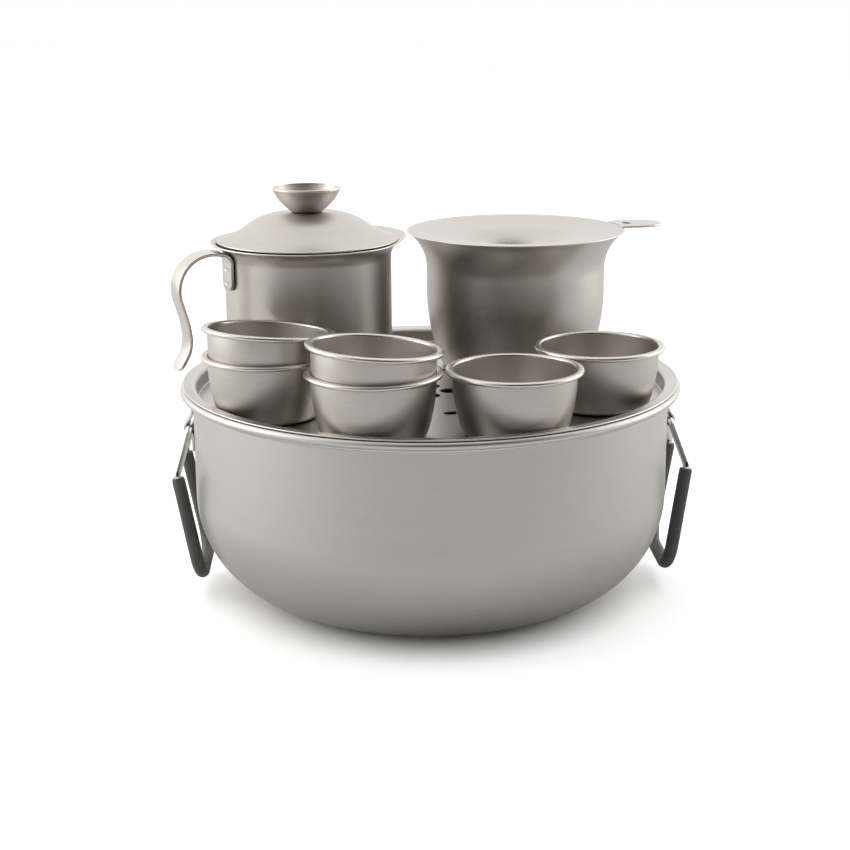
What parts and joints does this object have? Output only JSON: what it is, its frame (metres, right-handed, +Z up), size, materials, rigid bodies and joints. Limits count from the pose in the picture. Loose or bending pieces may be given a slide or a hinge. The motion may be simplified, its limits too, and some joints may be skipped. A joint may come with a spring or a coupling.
{
  "type": "camping cook pot set",
  "caption": "Round camping cook pot with folding wire bails, topped by a drain tray that holds a lidded teapot, a pouring jug with strainer and small bead-rimmed drinking cups.",
  "frame": {"origin": "centre of the pot's flat base", "axes": "+Z up, +X to the right bail as seen from the front, +Y to the back"},
  "size_m": [0.1969, 0.1886, 0.1533],
  "materials": {
    "titanium": "bead-blasted satin titanium, warm grey",
    "bright_wire": "bright drawn wire",
    "grip_rubber": "matt dark grey silicone tube"
  },
  "bodies": {
    "pot_body": {"pot": "titanium", "right_bail_bracket": "titanium", "left_bail_bracket": "titanium"},
    "right_bail": {"right_bail_wire": "bright_wire", "right_grip_sleeve": "grip_rubber"},
    "left_bail": {"left_bail_wire": "bright_wire", "left_grip_sleeve": "grip_rubber"},
    "tray_body": {"tray": "titanium"},
    "teapot": {"teapot_body": "titanium", "teapot_handle": "titanium"},
    "lid": {"teapot_lid": "titanium", "lid_knob": "titanium", "knob_rivet": "bright_wire"},
    "jug": {"pouring_jug": "titanium"},
    "strainer": {"jug_strainer": "titanium"},
    "left_lower_cup": {"cup_left_lower": "titanium"},
    "left_upper_cup": {"cup_left_upper": "titanium"},
    "middle_lower_cup": {"cup_middle_lower": "titanium"},
    "middle_upper_cup": {"cup_middle_upper": "titanium"},
    "front_cup": {"cup_front": "titanium"},
    "right_cup": {"cup_right": "titanium"}
  },
  "joints": [
    {"name": "right_bail_pivot", "type": "hinge", "parent": "pot_body", "child": "right_bail", "pos_m": [0.09117, 0.00382, 0.0652], "axis": [0.0419, -0.9991, 0], "range_deg": [-4.5, 150]},
    {"name": "left_bail_pivot", "type": "hinge", "parent": "pot_body", "child": "left_bail", "pos_m": [-0.09117, -0.00382, 0.0652], "axis": [-0.0419, 0.9991, 0], "range_deg": [-2.5, 150]},
    {"name": "tray_lift", "type": "slide", "parent": "pot_body", "child": "tray_body", "axis": [0, 0, 1], "range_m": [0, 0.03]},
    {"name": "teapot_lift", "type": "slide", "parent": "tray_body", "child": "teapot", "axis": [0, 0, 1], "range_m": [0, 0.04]},
    {"name": "lid_lift", "type": "slide", "parent": "teapot", "child": "lid", "axis": [0, 0, 1], "range_m": [0, 0.025]},
    {"name": "jug_lift", "type": "slide", "parent": "tray_body", "child": "jug", "axis": [0, 0, 1], "range_m": [0, 0.04]},
    {"name": "strainer_lift", "type": "slide", "parent": "jug", "child": "strainer", "axis": [0, 0, 1], "range_m": [0, 0.03]},
    {"name": "left_stack_lift", "type": "slide", "parent": "tray_body", "child": "left_lower_cup", "axis": [-0.2055, -0.2587, 0.9439], "range_m": [0, 0.045]},
    {"name": "left_upper_cup_lift", "type": "slide", "parent": "left_lower_cup", "child": "left_upper_cup", "axis": [0, 0, 1], "range_m": [0, 0.016]},
    {"name": "middle_stack_lift", "type": "slide", "parent": "tray_body", "child": "middle_lower_cup", "axis": [0, 0, 1], "range_m": [0, 0.04]},
    {"name": "middle_upper_cup_lift", "type": "slide", "parent": "middle_lower_cup", "child": "middle_upper_cup", "axis": [0, 0, 1], "range_m": [0, 0.025]},
    {"name": "front_cup_lift", "type": "slide", "parent": "tray_body", "child": "front_cup", "axis": [0, 0, 1], "range_m": [0, 0.04]},
    {"name": "right_cup_lift", "type": "slide", "parent": "tray_body", "child": "right_cup", "axis": [0, 0, 1], "range_m": [0, 0.04]}
  ]
}
